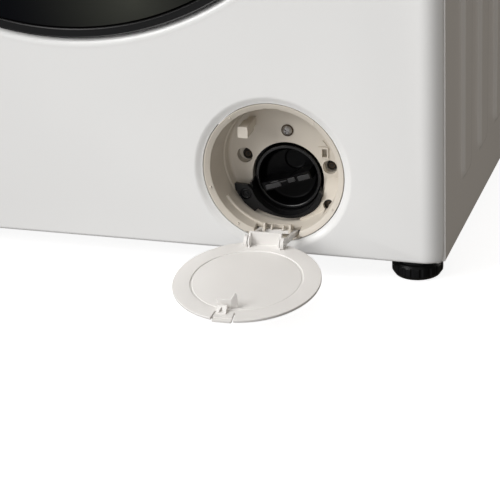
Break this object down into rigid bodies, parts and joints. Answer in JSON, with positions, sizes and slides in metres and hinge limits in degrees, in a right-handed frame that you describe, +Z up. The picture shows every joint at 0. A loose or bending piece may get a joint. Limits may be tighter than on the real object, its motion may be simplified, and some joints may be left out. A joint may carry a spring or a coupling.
{
  "type": "front-loading washing machine",
  "caption": "Free-standing front-loading washing machine with its round drain filter flap open, built as a working assembly.",
  "frame": {"origin": "on the floor, at the centre of the bounding box seen from above, with the filter flap open", "axes": "+Z up, -Y out of the door front, +X to the right seen from the front"},
  "size_m": [0.6, 0.7096, 0.847],
  "materials": {
    "white_enamel": "gloss",
    "white_plastic": "satin",
    "beige_plastic": "satin",
    "black_plastic": "gloss",
    "black_foot": "satin",
    "dark_glass": "gloss",
    "clear_glass": "gloss",
    "grey_rubber": "matte",
    "black_rubber": "matte",
    "stainless": "satin",
    "zinc": "satin",
    "cast_alloy": "matte",
    "grey_plastic": "matte",
    "concrete": "matte",
    "board_green": "satin",
    "motor_steel": "satin"
  },
  "bodies": {
    "root": {"base_frame": "grey_plastic", "side_panel_left": "white_enamel", "side_panel_right": "white_enamel", "front_panel": "white_enamel", "control_panel": "white_plastic", "top_cover": "white_plastic", "rear_panel": "white_enamel", "rear_access_cover": "grey_plastic", "suspension_beam": "zinc", "filter_recess_housing": "beige_plastic", "drain_pump_housing": "black_plastic", "pump_motor": "motor_steel", "door_hinge": "zinc", "door_lock": "grey_plastic", "display_window": "dark_glass", "control_board": "board_green", "dispenser_housing": "grey_plastic", "water_inlet_valve": "white_plastic", "fill_hose": "black_rubber", "damper_cylinder_left": "grey_plastic", "damper_cylinder_right": "grey_plastic", "door_gasket": "grey_rubber", "suspension_spring_left": "zinc", "suspension_spring_right": "zinc", "sump_hose": "black_rubber"},
    "flap_carriage": {"flap_hinge_carriage": "white_plastic"},
    "flap": {"filter_flap": "white_plastic"},
    "filter": {"filter_basket": "black_plastic"},
    "cap": {"filter_cap": "black_plastic"},
    "impeller": {"pump_impeller": "black_plastic"},
    "tub": {"tub_front": "grey_plastic", "tub_rear": "grey_plastic", "bearing_front": "stainless", "bearing_rear": "stainless", "drive_motor": "motor_steel", "counterweight_front": "concrete", "counterweight_top": "concrete", "heater": "zinc", "damper_rod_left": "zinc", "damper_rod_right": "zinc", "drive_belt": "black_rubber"},
    "drum": {"drum": "stainless", "drum_spider": "cast_alloy", "drum_shaft": "stainless", "drum_pulley": "cast_alloy"},
    "motor_rotor": {"motor_pulley": "zinc"},
    "door": {"door_bezel": "black_plastic", "door_window": "dark_glass", "door_bowl": "clear_glass", "door_inner_ring": "white_plastic"},
    "handle": {"door_handle": "black_plastic"},
    "hook": {"door_hook": "zinc"},
    "knob": {"programme_knob": "white_plastic"},
    "start_button": {"start_button": "white_plastic"},
    "power_button": {"power_button": "white_plastic"},
    "drawer": {"detergent_drawer": "white_plastic"},
    "foot_front_left": {"levelling_foot_front_left": "black_foot"},
    "foot_front_right": {"levelling_foot_front_right": "black_foot"},
    "foot_rear_left": {"levelling_foot_rear_left": "black_foot"},
    "foot_rear_right": {"levelling_foot_rear_right": "black_foot"}
  },
  "joints": [
    {"name": "tub_suspension", "type": "slide", "parent": "root", "child": "tub", "axis": [0, 0, 1], "range_m": [-0.01, 0.01], "stiffness_N_per_m": 12000, "springref_m": 0.03797, "deforming": ["suspension_spring_left", "suspension_spring_right", "sump_hose", "door_gasket"]},
    {"name": "drum_spin", "type": "hinge", "parent": "tub", "child": "drum", "pos_m": [0, 0.20683, 0.427], "axis": [0, 1, 0], "continuous": true},
    {"name": "motor_spin", "type": "hinge", "parent": "tub", "child": "motor_rotor", "pos_m": [-0.06, 0.30683, 0.102], "axis": [0, 1, 0], "continuous": true},
    {"name": "door_swing", "type": "hinge", "parent": "root", "child": "door", "pos_m": [-0.235, -0.22617, 0.427], "axis": [0, 0, -1], "range_deg": [0, 150]},
    {"name": "handle_pull", "type": "hinge", "parent": "door", "child": "handle", "pos_m": [0.23, -0.23017, 0.427], "axis": [0, 0, 1], "range_deg": [0, 15], "stiffness_Nm_per_rad": 2},
    {"name": "hook_swing", "type": "hinge", "parent": "door", "child": "hook", "pos_m": [0.224, -0.21417, 0.427], "axis": [0, 0, -1], "range_deg": [0, 10]},
    {"name": "knob_turn", "type": "hinge", "parent": "root", "child": "knob", "pos_m": [0, -0.22617, 0.777], "axis": [0, -1, 0], "continuous": true},
    {"name": "start_press", "type": "slide", "parent": "root", "child": "start_button", "axis": [0, 1, 0], "range_m": [0, 0.002], "stiffness_N_per_m": 800},
    {"name": "power_press", "type": "slide", "parent": "root", "child": "power_button", "axis": [0, 1, 0], "range_m": [0, 0.002], "stiffness_N_per_m": 800},
    {"name": "drawer_slide", "type": "slide", "parent": "root", "child": "drawer", "axis": [0, -1, 0], "range_m": [0, 0.2]},
    {"name": "flap_slide", "type": "slide", "parent": "root", "child": "flap_carriage", "axis": [0, 0.988, -0.1546], "range_m": [0, 0.0336]},
    {"name": "flap_hinge", "type": "hinge", "parent": "flap_carriage", "child": "flap", "pos_m": [0.1652, -0.25042, 0.03997], "axis": [1, 0, 0], "range_deg": [-97.6, 0]},
    {"name": "filter_pull", "type": "slide", "parent": "root", "child": "filter", "axis": [0, -1, 0], "range_m": [0, 0.055]},
    {"name": "filter_turn", "type": "hinge", "parent": "filter", "child": "cap", "pos_m": [0.1667, -0.20317, 0.0688], "axis": [0, -1, 0], "range_deg": [0, 90]},
    {"name": "impeller_spin", "type": "hinge", "parent": "root", "child": "impeller", "pos_m": [0.1667, -0.10517, 0.0688], "axis": [0, 1, 0], "continuous": true},
    {"name": "foot_front_left_height", "type": "slide", "parent": "root", "child": "foot_front_left", "axis": [0, 0, -1], "range_m": [0, 0.015]},
    {"name": "foot_front_right_height", "type": "slide", "parent": "root", "child": "foot_front_right", "axis": [0, 0, -1], "range_m": [0, 0.015]},
    {"name": "foot_rear_left_height", "type": "slide", "parent": "root", "child": "foot_rear_left", "axis": [0, 0, -1], "range_m": [0, 0.015]},
    {"name": "foot_rear_right_height", "type": "slide", "parent": "root", "child": "foot_rear_right", "axis": [0, 0, -1], "range_m": [0, 0.015]}
  ],
  "couplings": [
    {"joint": "motor_spin", "follows": "drum_spin", "ratio": 12.5},
    {"joint": "hook_swing", "follows": "handle_pull", "ratio": 0.6},
    {"joint": "flap_slide", "follows": "flap_hinge", "m_per_rad": -0.019637}
  ]
}
